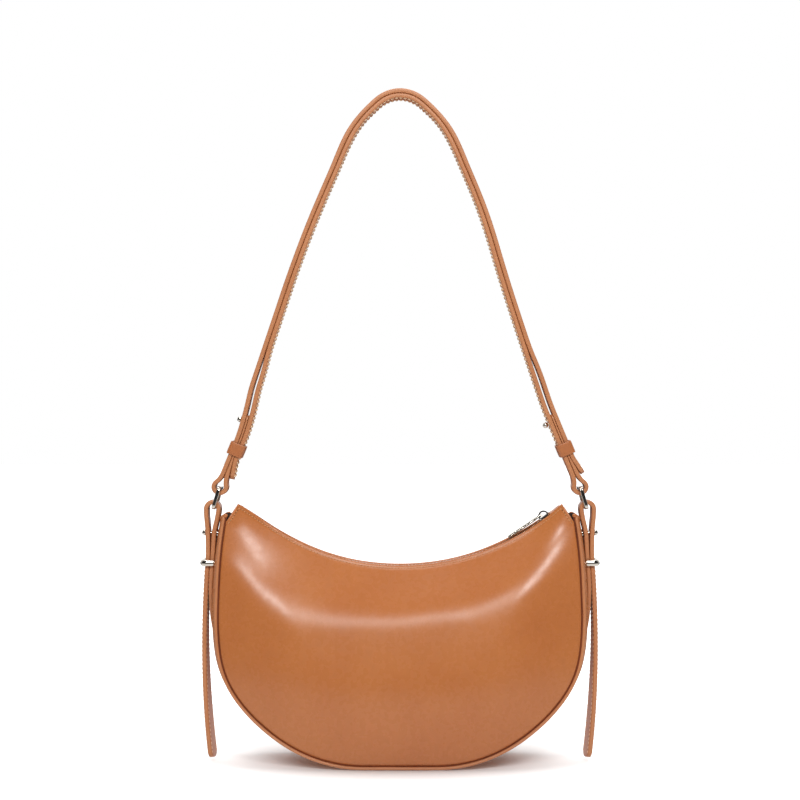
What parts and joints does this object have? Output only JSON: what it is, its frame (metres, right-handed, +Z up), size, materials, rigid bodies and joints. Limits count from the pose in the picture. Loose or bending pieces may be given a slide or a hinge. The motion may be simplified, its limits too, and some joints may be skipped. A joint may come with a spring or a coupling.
{
  "type": "half moon shoulder bag",
  "caption": "Half moon leather shoulder bag: puffed panels with piped seams, a curved zip mouth, side straps that hold metal rings, and a layered shoulder strap.",
  "frame": {"origin": "centre of the footprint on the floor that the bag stands on", "axes": "+Z up to the top of the shoulder strap, +X to the right across the width, +Y from the front panel to the back one"},
  "size_m": [0.3142, 0.096, 0.5277],
  "materials": {
    "tan_leather": "smooth, satin gloss",
    "lining": "matt woven",
    "zip_tape": "matt woven",
    "polished_metal": "polished"
  },
  "bodies": {
    "bag": {"front_panel": "tan_leather", "back_panel": "tan_leather", "gusset": "tan_leather", "front_piping": "tan_leather", "back_piping": "tan_leather", "front_lining": "lining", "back_lining": "lining", "gusset_lining": "lining", "front_zip_tape": "zip_tape", "back_zip_tape": "zip_tape", "front_zip_teeth": "polished_metal", "back_zip_teeth": "polished_metal", "zip_stops": "polished_metal", "right_zip_tab": "tan_leather", "left_zip_tab": "tan_leather", "left_strap_anchor": "tan_leather", "left_bridge_layer": "tan_leather", "left_bridge": "polished_metal", "left_back_plate": "polished_metal", "left_side_stud": "polished_metal", "right_strap_anchor": "tan_leather", "right_bridge_layer": "tan_leather", "right_bridge": "polished_metal", "right_back_plate": "polished_metal", "right_side_stud": "polished_metal"},
    "side_loops": {"left_side_loop": "tan_leather", "right_side_loop": "tan_leather"},
    "left_ring": {"left_ring": "polished_metal"},
    "right_ring": {"right_ring": "polished_metal"},
    "shoulder_strap": {"outer_strap": "tan_leather", "inner_strap": "tan_leather", "left_strap_stud": "polished_metal", "right_strap_stud": "polished_metal"},
    "left_keeper": {"left_keeper": "tan_leather"},
    "right_keeper": {"right_keeper": "tan_leather"},
    "zip_slider": {"zip_slider": "polished_metal"},
    "zip_puller": {"zip_puller": "polished_metal"},
    "left_tail": {"left_tail": "tan_leather"},
    "right_tail": {"right_tail": "tan_leather"}
  },
  "joints": [
    {"name": "strap_fold", "type": "hinge", "parent": "bag", "child": "side_loops", "pos_m": [0, 0, 0.18615], "axis": [1, 0, 0], "range_deg": [-100, 100], "deforming": ["left_side_loop", "right_side_loop"]},
    {"name": "strap_sway", "type": "hinge", "parent": "side_loops", "child": "left_ring", "pos_m": [-0.14631, 0, 0.20065], "axis": [0, 1, 0], "range_deg": [-12, 12]},
    {"name": "strap_tilt", "type": "hinge", "parent": "left_ring", "child": "shoulder_strap", "pos_m": [-0.14204, 0, 0.21555], "axis": [0, 1, 0], "range_deg": [-13, 13]},
    {"name": "right_ring_sway", "type": "hinge", "parent": "side_loops", "child": "right_ring", "pos_m": [0.14631, 0, 0.20065], "axis": [0, 1, 0], "range_deg": [-12.5, 12.5]},
    {"name": "left_keeper_slide", "type": "slide", "parent": "shoulder_strap", "child": "left_keeper", "axis": [0.3827, 0, 0.9239], "range_m": [-0.002, 0.012]},
    {"name": "right_keeper_slide", "type": "slide", "parent": "shoulder_strap", "child": "right_keeper", "axis": [-0.3827, 0, 0.9239], "range_m": [-0.002, 0.012]},
    {"name": "zip_slide", "type": "hinge", "parent": "bag", "child": "zip_slider", "pos_m": [0, 0, 0.34509], "axis": [0, 1, 0], "range_deg": [0, 70.5], "deforming": ["front_zip_teeth", "back_zip_teeth"]},
    {"name": "puller_swing", "type": "hinge", "parent": "zip_slider", "child": "zip_puller", "pos_m": [0.11167, 0, 0.19417], "axis": [0, 1, 0], "range_deg": [0, 140]},
    {"name": "left_tail_lift", "type": "hinge", "parent": "bag", "child": "left_tail", "pos_m": [-0.15329, 0, 0.15397], "axis": [0, 1, 0], "range_deg": [0, 60]},
    {"name": "right_tail_lift", "type": "hinge", "parent": "bag", "child": "right_tail", "pos_m": [0.15329, 0, 0.15397], "axis": [0, -1, 0], "range_deg": [0, 60]}
  ],
  "couplings": [
    {"joint": "strap_tilt", "follows": "strap_sway", "ratio": -1.0301},
    {"joint": "right_ring_sway", "follows": "strap_sway", "ratio": 1}
  ]
}
